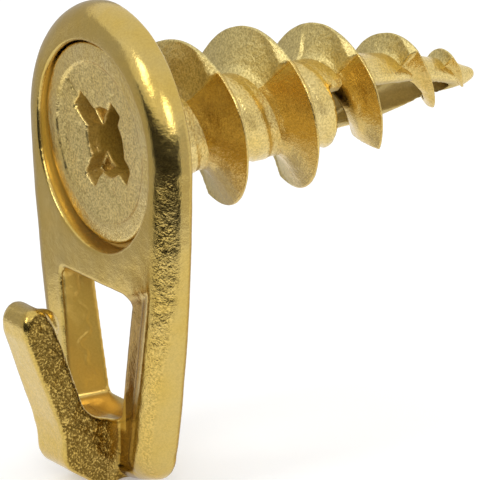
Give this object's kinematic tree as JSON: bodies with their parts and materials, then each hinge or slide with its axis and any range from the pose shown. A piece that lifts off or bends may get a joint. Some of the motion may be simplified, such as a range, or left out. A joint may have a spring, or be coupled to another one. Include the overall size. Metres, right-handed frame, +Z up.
{
  "type": "drywall picture hook",
  "caption": "Cast hook plate with a window and an upturned arm, hanging from the flat head of a hollow self-drilling wall anchor with coarse flights and an open trough tip.",
  "frame": {"origin": "on the anchor's axis, in the plane of the hook plate's flat front face", "axes": "+Y runs along the anchor into the wall, +Z is up with the arm at the bottom, +X is to the right seen from the front"},
  "size_m": [0.0198, 0.0389, 0.0344],
  "materials": {
    "hook_metal": "satin brassy plating over a rough casting",
    "anchor_metal": "satin brassy plating over a rough casting"
  },
  "bodies": {
    "anchor": {"anchor": "anchor_metal"},
    "hook": {"hook": "hook_metal"}
  },
  "joints": [
    {"name": "hook_turn", "type": "hinge", "parent": "anchor", "child": "hook", "pos_m": [0, 0, 0], "axis": [0, 1, 0], "continuous": true}
  ]
}
